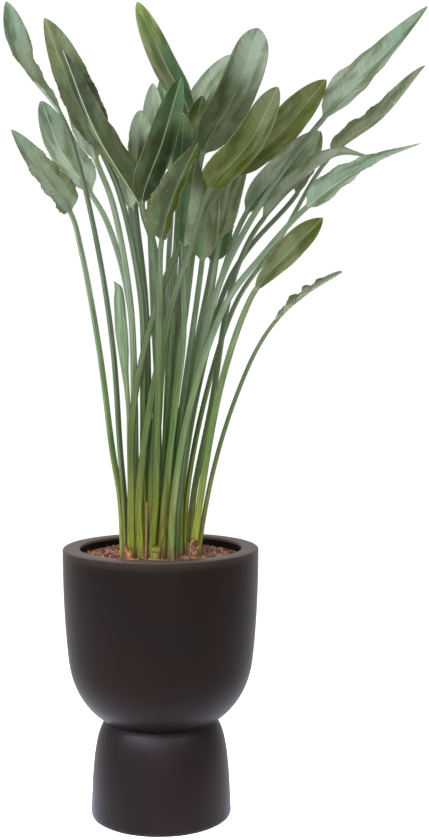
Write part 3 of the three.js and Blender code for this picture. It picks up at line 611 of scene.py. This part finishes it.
def growth_line(leaf):
    """The line that a leaf grows along, and how much of it is stalk."""
    foot_x, foot_y = leaf["foot"]
    neck = leaf["neck"]
    points = [(foot_x, foot_y, SOIL_LEVEL - ROOT_DEPTH), (foot_x, foot_y, SOIL_LEVEL)]
    for x, z in leaf["stem"]:
        swing = ((z - SOIL_LEVEL) / (neck[2] - SOIL_LEVEL)) ** SWING
        points.append((x, blend(foot_y, neck[1], swing), z))
    points += [neck, leaf["middle"], leaf["tip"]]
    return Line(points), (len(points) - 3) / (len(points) - 1)


def frames_at(line, part, turn):
    """Places on the line with their side, seen as right from the front, and upper face."""
    centre = line.at(part)
    along = line.along(part)
    right = np.cross((0, 1, 0), along)
    right /= np.linalg.norm(right, axis=1)[:, None]
    front = np.cross(right, along)
    angle = np.radians(turn)[:, None]
    side = np.cos(angle) * right - np.sin(angle) * front
    return centre, side, np.cross(side, along)


def blade_half_width(leaf, part):
    """The blade's outline, never narrower than the stalk at its neck or than its tip."""
    beyond = part > leaf["widest"]
    away = np.abs(part - leaf["widest"]) / np.where(beyond, 1 - leaf["widest"], leaf["widest"])
    power = np.where(beyond, leaf["blunt"], leaf["full"])
    outline = np.maximum(0, 1 - away ** power) ** OUTLINE_POWER
    return np.maximum(leaf["width"] / 2 * outline, blend(STEM_HIGH, TIP_HALF_WIDTH, part))


def stalk_rings(across, radius):
    """The stalk's section, rounded below and channelled above, as offsets to side and face."""
    half_turn = across * math.pi / 2
    to_side = STEM_SIDE * radius * np.sin(half_turn)
    channel = CHANNEL_SHARE * np.exp(-(across / 0.4) ** 2)
    upper = radius * STEM_FLATNESS * (0.62 * np.cos(half_turn) ** 0.7 - channel)
    lower = -radius * STEM_FLATNESS * np.cos(half_turn) ** 0.85
    return to_side, upper, lower


def blade_rings(leaf, across, part):
    """The blade's section: halves raised from the midrib, cupped and waved, with its rib below."""
    half = blade_half_width(leaf, part)
    seed = leaf["number"]
    away = np.abs(across)

    # Frills run along the sides of the blade: scallops in its plane and ruffles out of it
    frilled = leaf["frill"] * FRILL_DEPTH * smooth(0.02, 0.12, part) * (1 - smooth(0.5, 0.75, part))
    turns = 2 * math.pi * BLADE_LENGTH / FRILL_SPACING * part
    wander = 2 * np.sin(7 * part + seed)
    scallop = frilled * 0.5 * np.sin(turns + wander + 2 * np.sign(across))
    ruffle = frilled * away ** 5 * np.sin(RUFFLE_PACE * turns + 1.7 * wander + across)
    to_side = half * across + np.sign(across) * scallop * away ** 3

    # Both halves rise from the midrib, cupped, with slow waves and fine ripples
    out = np.sqrt(across ** 2 + 0.05 ** 2) - 0.05
    fold = np.radians(blend(*leaf["fold"], part))
    cup = CUPPING * half * out * (1 - out)
    waved = np.sin(math.pi * np.minimum(1, part / WAVED_PART))
    phase = leaf["foot"][0] + np.where(across > 0, 2.0, 0.0)
    wave = leaf["wave"] * out ** 2 * waved * np.sin(2 * math.pi * WAVES * part + phase)
    rippling = np.sin(2 * math.pi * RIPPLES * part - 4 * away + seed)
    ripple = RIPPLE_DEPTH * smooth(0, 0.3, away) * rippling
    lift = half * out * np.sin(fold) - cup + wave + ruffle + ripple

    # The midrib stands out below, with a groove above it, and the edges are thin
    from_rib = away * half / blend(*RIB_WIDTHS, part ** 0.7)
    rib = STEM_HIGH * STEM_FLATNESS * (1 - part) ** 1.5 * np.exp(-from_rib ** 2)
    groove = GROOVE_DEPTH * (1 - part) * np.exp(-(from_rib / 0.6) ** 2)
    thin = BLADE_THICKNESS / 2 * (1 - EDGE_THINNING * away ** 6)
    return to_side * np.cos(fold), lift + thin - groove, lift - thin - rib


def across_places():
    """Places across a ring from edge to edge, closer together at the midrib and at the edges."""
    even = np.linspace(-1, 1, RING_HALF)
    return 0.55 * even + 0.45 * np.sign(even) * np.abs(even) ** 1.9


def leaf_colors(leaf, is_upper, on_right, blade_part, height):
    """The tissue's colour at each point, before veins and spots."""
    tone = {key: linear(TONES[leaf[key]]) for key in ("upper", "under", "right", "end") if key in leaf}
    color = np.where(is_upper[:, None], tone["upper"], tone["under"])
    # Painted light and shade: the right half takes its tone as lit on some leaves and shaded on others,
    # and the tip a tone partly its own and partly painted light
    if "right" in tone:
        color = np.where(on_right[:, None], tone["right"], color)
    if "end" in tone:
        color = blend(color, tone["end"], smooth(0.45, 0.85, blade_part)[:, None])
    top, middle, old_low, young_low, brown = [linear(c) for c in STALK_COLORS]
    top = top + 0.15 * (tone["upper"] - top)
    youth = 0.5 + 0.5 * math.sin(1.7 * leaf["number"])
    stalk = blend(blend(old_low, young_low, youth), middle, smooth(545, 760, height)[:, None])
    stalk = blend(stalk, top, smooth(760, 1150, height)[:, None])
    stalk = stalk * (1 + 0.3 * math.sin(2.4 * leaf["number"]))
    stalk = blend(brown, stalk, 0.2 + 0.8 * smooth(533, 562, height)[:, None])
    color = blend(stalk, color, smooth(-0.02, 0.05, blade_part)[:, None])
    color[:, 3] = 1
    return color


def build_leaf(leaf, blade_material, stalk_material):
    """A leaf from its end in the soil to its tip: rings of points that turn from stalk to blade."""
    line, stem_part = growth_line(leaf)
    stalk_parts = np.linspace(0, 1, STALK_STATIONS)[:-1]
    blade_parts = np.linspace(0, 1, BLADE_STATIONS) ** 1.15
    line_parts = np.concatenate([stalk_parts * stem_part, blend(stem_part, 1, blade_parts)])
    stalk_share = np.concatenate([stalk_parts, np.ones(BLADE_STATIONS)])
    blade_share = np.concatenate([np.zeros(STALK_STATIONS - 1), blade_parts])
    turn = blend(*leaf["turn"], blade_share)
    centre, side, face = frames_at(line, line_parts, turn)
    across = across_places()[None, :]
    radius = blend(STEM_HIGH, STEM_LOW, (1 - stalk_share) ** STEM_TAPER)[:, None]
    part = blade_share[:, None]
    stalk = stalk_rings(across, radius)
    blade = blade_rings(leaf, across, part)
    bladed = smooth(0, NECK_BLEND, part)
    to_side, upper, lower = [blend(s, b, bladed) for s, b in zip(stalk, blade)]
    edge = STALK_EDGE * smooth(0.9, 1, np.abs(across)) * (1 - bladed)
    upper = upper + edge
    lower = lower - edge
    flat = centre[:, None, :] + to_side[:, :, None] * side[:, None, :]
    above = flat + upper[:, :, None] * face[:, None, :]
    below = flat + lower[:, :, None] * face[:, None, :]
    rings = np.concatenate([above, below[:, ::-1, :]], axis=1)
    # Nothing grows past the box of the solids
    rings = np.clip(rings, *(np.array(corner) / MM for corner in cad_box))
    stations, size = rings.shape[:2]
    faces = ring_faces(stations, size)
    is_blade = np.repeat(blade_share[:-1] > 0.01, size)
    piece = new_piece(leaf["name"] + "_grown", rings.reshape(-1, 3), faces,
                      [blade_material, stalk_material], [0 if b else 1 for b in is_blade] + [1, 0])

    # How far each point is along the leaf and off its middle. No two leaves start at the same place
    # of the patterns
    step = np.linalg.norm(np.diff(centre, axis=0), axis=1)
    run = np.concatenate([[0], np.cumsum(step)])[:, None] + PATTERN_SHIFT * leaf["number"]
    both = np.repeat(np.concatenate([across, across[:, ::-1]], axis=1), stations, axis=0)
    off = both * np.where(part > 0, blade_half_width(leaf, part), radius)
    place = np.stack([np.repeat(run, size, axis=1), off, np.abs(both)], axis=2)
    set_attribute(piece, "blade_mm", "FLOAT_VECTOR", place)
    is_upper = np.tile(np.arange(size) < RING_HALF, stations)
    blade_part, height = np.repeat(blade_share, size), rings[:, :, 2].ravel()
    color = leaf_colors(leaf, is_upper, both.ravel() > 0, blade_part, height)
    set_attribute(piece, "tissue", "FLOAT_COLOR", color)
    scars = leaf["scars"] * (1 - smooth(560, 780, height))
    dryness = np.where(blade_part > 0, leaf["dry"], scars)
    rib = np.full(len(dryness), leaf["rib"])
    set_attribute(piece, "age", "FLOAT_VECTOR", np.stack([dryness, rib, 0 * rib], axis=1))
    stands_for(piece, leaf["name"])


def build_rod(node, sections, material, colors, sides=28, steps=6, slant=0, wrapped=0.0):
    """A rod through its sections, with its colour from low to high. Where it is wrapped, its skin
    laps over itself, as in a leaf that is still rolled."""
    sections = np.array(sections, dtype=float)
    line = Line(sections[:, :3])
    parts = np.linspace(0, 1, (len(sections) - 1) * steps + 1)
    where = parts * (len(sections) - 1)
    half_width = np.interp(where, range(len(sections)), sections[:, 3])
    half_depth = np.interp(where, range(len(sections)), sections[:, 4])
    angle = np.linspace(0, 2 * math.pi, sides, endpoint=False)
    lap = 1 - wrapped * (angle / (2 * math.pi))
    to_right, to_back = np.cos(angle - ROD_SEAM), np.sin(angle - ROD_SEAM)
    rings = line.at(parts)[:, None, :] + np.stack([
        half_width[:, None] * to_right * lap,
        half_depth[:, None] * to_back * lap,
        smooth(0.9, 1, parts)[:, None] * slant * to_back], axis=2)
    piece = new_piece(node + "_grown", rings.reshape(-1, 3), ring_faces(len(parts), sides), [material])
    height = rings[:, :, 2]
    off = np.tile(np.degrees(angle) * MM_PER_DEGREE, (len(parts), 1))
    set_attribute(piece, "blade_mm", "FLOAT_VECTOR", np.stack([height, off, 0 * off], axis=2))
    low, high = [linear(c) for c in colors]
    share = smooth(height.min(), height.max(), height.ravel())[:, None]
    set_attribute(piece, "tissue", "FLOAT_COLOR", blend(low, high, share))
    dryness = 0.3 * (1 - smooth(540, 640, height.ravel()))
    set_attribute(piece, "age", "FLOAT_VECTOR", np.stack([dryness, 0 * dryness, 0 * dryness], axis=1))
    stands_for(piece, node)


def build_sheath(sheath, material, columns=61, rows=16):
    """A torn dry leaf base, wrapped part of the way round its leaf's stalk."""
    leaf = LEAVES[sheath["leaf"] - 1]
    line, stem_part = growth_line(leaf)
    point_part = stem_part / (len(leaf["stem"]) + 2)
    column = np.linspace(0, 1, columns)
    tops = np.interp(column, np.linspace(0, 1, len(sheath["tops"])), sheath["tops"])
    tops = tops - TEAR_SHARE * np.abs(np.sin(column * TEARS))
    angle = np.radians(blend(*sheath["span"], column))
    grid = []
    for row in np.linspace(0, 1, rows):
        parts = blend(SHEATH_FOOT, tops, row) * point_part
        centre, side, face = frames_at(line, parts, np.full(columns, leaf["turn"][0]))
        curl = CURL_DEPTH * row ** 2 * np.sin(column * CURLS)
        walls = []
        for offset in (0, SHEATH_THICKNESS):
            reach = (sheath["radius"] + offset + np.maximum(0, curl))[:, None]
            walls.append(centre + side * reach * np.cos(angle)[:, None]
                         + face * reach * np.sin(angle)[:, None])
        grid.append(np.concatenate([walls[0], walls[1][::-1]]))
    rings = np.array(grid)
    piece = new_piece(sheath["name"] + "_grown", rings.reshape(-1, 3),
                      ring_faces(rows, 2 * columns), [material])
    height = rings[:, :, 2]
    off = np.tile(np.concatenate([column, column[::-1]]) * SHEATH_WIDTH, (rows, 1))
    set_attribute(piece, "blade_mm", "FLOAT_VECTOR", np.stack([height, off, 0 * off], axis=2))
    color = np.tile(linear(sheath["color"]), (height.size, 1))
    set_attribute(piece, "tissue", "FLOAT_COLOR", color)
    stands_for(piece, sheath["name"])


def bezier(start, one, two, end, steps):
    """Points on a cubic curve between two places, drawn by the two in between."""
    t = np.linspace(0, 1, steps + 1)[:, None]
    start, one, two, end = [np.array(p, dtype=float) for p in (start, one, two, end)]
    return ((1 - t) ** 3 * start + 3 * (1 - t) ** 2 * t * one
            + 3 * (1 - t) * t ** 2 * two + t ** 3 * end)


def arc(centre, radius, start, end, steps):
    """Points on a part of a circle, from one angle to another in degrees."""
    angle = np.radians(np.linspace(start, end, steps + 1))
    return np.stack([centre[0] + radius * np.cos(angle), centre[1] + radius * np.sin(angle)], axis=1)


def pot_profile():
    """The pot's half section as (radius, height), from the middle of its underside, over the rim
    and down inside, with how worn each point is and whether it lies inside, where shade is painted."""
    shoulder = bezier((BASE_RADIUS, 6), (141, 90), (137, 175), (NECK_RADIUS, NECK_HEIGHT), 28)
    belly = bezier((NECK_RADIUS, NECK_HEIGHT + 1), (140, 212), (176, 246),
                   (BELLY_RADIUS, BELLY_HEIGHT), 24)
    side = bezier((BELLY_RADIUS, BELLY_HEIGHT), (193, 350), (RIM_RADIUS, 440),
                  (RIM_RADIUS, POT_HEIGHT - EDGE_ROUNDING), 20)
    rim_out = arc((RIM_RADIUS - EDGE_ROUNDING, POT_HEIGHT - EDGE_ROUNDING), EDGE_ROUNDING, 0, 90, 6)
    rim_in = arc((MOUTH_RADIUS + EDGE_ROUNDING, POT_HEIGHT - EDGE_ROUNDING), EDGE_ROUNDING, 90, 180, 6)
    inside = bezier((MOUTH_RADIUS - 2, BOWL_WALL_FOOT), (MOUTH_RADIUS - 6, 262), (118, BOWL_FLOOR),
                    (60, BOWL_FLOOR), 12)
    in_foot = bezier((NECK_RADIUS - FOOT_WALL, FOOT_CEILING - 12), (112, 160), (117, 90),
                     (BASE_RADIUS - FOOT_WALL, FOOT_FLOOR), 8)
    under_rim = [(MOUTH_RADIUS, POT_HEIGHT - EDGE_ROUNDING - 2)]
    drain = [(DRAIN_RADIUS, BOWL_FLOOR), (DRAIN_RADIUS, FOOT_CEILING),
             (NECK_RADIUS - FOOT_WALL - 10, FOOT_CEILING)]
    underside = [(0, 0), (BASE_RADIUS - EDGE_ROUNDING, 0), (BASE_RADIUS - 1.5, 1.5)]
    # Each stretch with how worn it is and whether it is inside, where the material paints shade
    stretches = [
        (underside, 0.3, 0), (shoulder, 0, 0), (belly, 0, 0), (side[1:-1], 0, 0),
        (rim_out[:3], 0.2, 0), (rim_out[3:], 0.9, 0), (rim_in, 0.9, 0), (under_rim, 0, 1),
        (inside, 0, 1), (drain, 0, 1), (in_foot, 0, 1), ([(0, FOOT_FLOOR)], 0, 1)]
    points = np.vstack([stretch for stretch, _, _ in stretches])
    wear, shaded_inside = np.vstack([np.full((len(stretch), 2), marks) for stretch, *marks in stretches]).T
    return points, wear, shaded_inside


def build_pot(material):
    """The profile turned about the pot's axis, and closed by a point at each end."""
    profile, wear, shaded_inside = pot_profile()
    angle = np.linspace(0, 2 * math.pi, POT_SIDES, endpoint=False)
    points = [(0, 0, profile[0, 1])]
    for radius, height in profile[1:-1]:
        points += np.stack([radius * np.cos(angle), radius * np.sin(angle),
                            np.full(POT_SIDES, height)], axis=1).tolist()
    points.append((0, 0, profile[-1, 1]))
    rings = len(profile) - 2
    faces = []
    for i in range(POT_SIDES):
        j = (i + 1) % POT_SIDES
        faces.append((0, 1 + j, 1 + i))
        for ring in range(rings - 1):
            a, b = 1 + ring * POT_SIDES, 1 + (ring + 1) * POT_SIDES
            faces.append((a + i, a + j, b + j, b + i))
        last = 1 + (rings - 1) * POT_SIDES
        faces.append((last + i, last + j, len(points) - 1))
    piece = new_piece("cast_pot", points, faces, [material])
    # How worn each point is, and the inside, which the material paints in shade
    for name, values in (("wear", wear), ("inside", shaded_inside)):
        set_attribute(piece, name, "FLOAT", np.concatenate(
            [[values[0]], np.repeat(values[1:-1], POT_SIDES), [values[-1]]]))
    # The crease at the neck and the bowl's inner edges stay sharp
    piece.data.set_sharp_from_angle(angle=math.radians(SHARP_FROM))
    stands_for(piece, "pot")


def soil_rise(x, y):
    """How far the mix stands above its level, with a flat edge along the pot."""
    edge = np.hypot(x, y) / MOUTH_RADIUS
    waves = np.sin(x / 23) * np.cos(y / 19) + 0.6 * np.sin((x + y) / 13)
    return SOIL_RELIEF * waves * (1 - edge ** 4)


CRUMB_CORNERS = np.array([(1, 0, 0), (-1, 0, 0), (0, 1, 0), (0, -1, 0), (0, 0, 1), (0, 0, -1)])
CRUMB_FACES = [(0, 2, 4), (2, 1, 4), (1, 3, 4), (3, 0, 4), (2, 0, 5), (1, 2, 5), (3, 1, 5), (0, 3, 5)]
BARK_COLORS = ["381c12", "643a28", "8f5840", "b27a5a", "caa07c"]
BARK_SHARES = [0.16, 0.28, 0.3, 0.18, 0.08]


def turned_any_way(points):
    """The points turned about the middle by random angles."""
    turn = np.linalg.qr(RNG.normal(size=(3, 3)))[0]
    return points @ turn.T


def build_crumbs(material):
    """Loose bark crumbs and coir threads that lie over the potting mix."""
    points, faces, colors = [], [], []
    shades = [linear(c) for c in BARK_COLORS]
    for _ in range(CRUMBS):
        radius = (MOUTH_RADIUS - CRUMBS_FROM_WALL) * math.sqrt(RNG.random())
        angle = 2 * math.pi * RNG.random()
        x, y = radius * math.cos(angle), radius * math.sin(angle)
        size = RNG.uniform(*CRUMB_SIZE) * RNG.uniform(0.6, 1) / 2
        shape = size * RNG.uniform((0.7, 0.45, 0.3), (1.3, 0.8, 0.6))
        corners = turned_any_way(CRUMB_CORNERS * shape * RNG.uniform(0.7, 1.3, (6, 1)))
        lift = RNG.uniform(-0.1, 0.8) * size
        first = len(points)
        points += (corners + (x, y, SOIL_LEVEL + soil_rise(x, y) + lift)).tolist()
        faces += [tuple(first + i for i in face) for face in CRUMB_FACES]
        colors += [shades[RNG.choice(len(shades), p=BARK_SHARES)]] * 6
    for _ in range(FIBRES):
        radius = (MOUTH_RADIUS - FIBRES_FROM_WALL) * math.sqrt(RNG.random())
        angle, heading = RNG.uniform(0, 2 * math.pi, 2)
        start = np.array([radius * math.cos(angle), radius * math.sin(angle)])
        length, bend = RNG.uniform(*FIBRE_LENGTH), RNG.uniform(-1.2, 1.2)
        first = len(points)
        for t in np.linspace(-0.5, 0.5, 6):
            way = heading + bend * t
            x, y = start + length * t * np.array([math.cos(way), math.sin(way)])
            z = SOIL_LEVEL + soil_rise(x, y) + 3.2 - 5 * t * t
            across = FIBRE_HALF_WIDTH * np.array([-math.sin(way), math.cos(way)])
            for dx, dz in ((-1, 0), (1, 0), (0, 0.7)):
                points.append((x + dx * across[0], y + dx * across[1], z + dz))
                colors.append(shades[4])
        faces += [tuple(first + i for i in face) for face in ring_faces(6, 3)]
    # What reaches into the pot's wall is moved in to it
    points = np.array(points)
    outside = np.hypot(points[:, 0], points[:, 1]) / (MOUTH_RADIUS - 2)
    points[:, :2] /= np.maximum(1, outside)[:, None]
    piece = new_piece("bark_crumbs", points, faces, [material], smooth_faces=False)
    set_attribute(piece, "tissue", "FLOAT_COLOR", colors)
    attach(piece, "root")


# The studio

def build_camera():
    """Where the photograph was taken from: in front of the plant's middle and tipped down a little. The
    lens is shifted, so that the plant keeps its place and the pot's rim its curve."""
    data = bpy.data.cameras.new("camera")
    data.sensor_width = 36
    data.lens = FOCAL_LENGTH / PHOTO_HEIGHT * data.sensor_width
    data.shift_y = LENS_SHIFT
    camera = new_object("camera", data)
    camera.location = (0.110, -2.600, 0.960)
    camera.rotation_euler = (math.radians(90 - TIPPED_DOWN), 0, 0)
    bpy.context.scene.camera = camera


def build_light(name, place, target, size, power, spread=180, color="f6f8ff"):
    """A lamp behind a rectangle of cloth. A grid before it narrows its spread, in degrees."""
    data = bpy.data.lights.new(name, "AREA")
    data.shape = "RECTANGLE"
    data.size, data.size_y = size
    data.energy = power
    data.color = linear(color)[:3]
    data.spread = math.radians(spread)
    light = new_object(name, data)
    light.location = place
    way = np.array(target, dtype=float) - np.array(place, dtype=float)
    light.rotation_euler = (math.atan2(math.hypot(way[0], way[1]), -way[2]), 0,
                            math.atan2(way[1], way[0]) - math.pi / 2)


def build_studio():
    """A white room with a pale floor, softboxes and strips."""
    scene = bpy.context.scene
    scene.view_settings.view_transform = "Standard"
    # White all round at eye level, and dimmer overhead, where the softboxes hang
    world = bpy.data.worlds.new("white room")
    world.use_nodes = True
    world.node_tree.nodes.clear()
    way = add_node(world.node_tree, "ShaderNodeTexCoord").outputs["Generated"]
    rise = add_node(world.node_tree, "ShaderNodeSeparateXYZ", {0: way}).outputs["Z"]
    strength = add_node(world.node_tree, "ShaderNodeMapRange", {
        "Value": rise, "From Min": 0.28, "From Max": 0.7, "To Min": 1.02, "To Max": 0.25}, **EASED)
    light = add_node(world.node_tree, "ShaderNodeBackground", {"Color": "ffffff", "Strength": strength})
    add_node(world.node_tree, "ShaderNodeOutputWorld", {"Surface": light})
    scene.world = world
    half = FLOOR_SIZE / MM / 2
    floor = new_piece("floor", [(-half, -half, 0), (half, -half, 0), (half, half, 0), (-half, half, 0)],
                      [(0, 1, 2, 3)], [make_floor()])
    middle = (0.05, 0, 1.0)
    build_light("key softbox", (-0.9, -2.3, 2.8), middle, (2.6, 1.5), 40)
    build_light("front strip", (-0.2, -3.3, 1.25), (0, 0, 0.7), (3.2, 0.9), 20, 90)
    build_light("left strip", (-2.9, -1.7, 1.2), (0, 0, 0.7), (1.8, 0.9), 8, 90)
    build_light("right strip", (2.9, -1.7, 1.2), (0, 0, 0.7), (1.8, 0.9), 1.5, 90)
    build_light("top softbox", (0.2, 0.6, 3.2), middle, (2.0, 1.6), 30)
    # An arc of small lamps with grids, which only reach the foot and shine on its shoulder
    for way_round, power in FOOT_LAMPS:
        turn = math.radians(way_round)
        place = (LAMP_DISTANCE * math.sin(turn), -LAMP_DISTANCE * math.cos(turn), LAMP_HEIGHT)
        build_light(f"foot lamp at {way_round} degrees", place, (0, 0, 0.05), (0.7, 0.4), power, 14,
                    "d3ddff")


build_camera()
leaf_blade, leaf_stalk = make_leaf_blade(), make_stalk()
dry_leaf, bark = make_dry_leaf(), make_bark()
build_pot(make_fibre_stone())
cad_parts["soil"].data.materials.clear()
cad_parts["soil"].data.materials.append(make_potting_mix())
build_crumbs(bark)
for one in LEAVES:
    build_leaf(one, leaf_blade, leaf_stalk)
build_rod("young_leaf", YOUNG_LEAF, leaf_stalk, ("8a9848", "7b9074"), wrapped=0.12)
build_rod("cut_stump", CUT_STUMP, leaf_stalk, ("6c6a2a", "857f3c"), slant=STUMP_SLANT)
build_rod("dry_stalk", DRY_STALK, dry_leaf, ("6b4a2e", "9a7a52"))
for one in SHEATHS:
    build_sheath(one, dry_leaf)
build_studio()
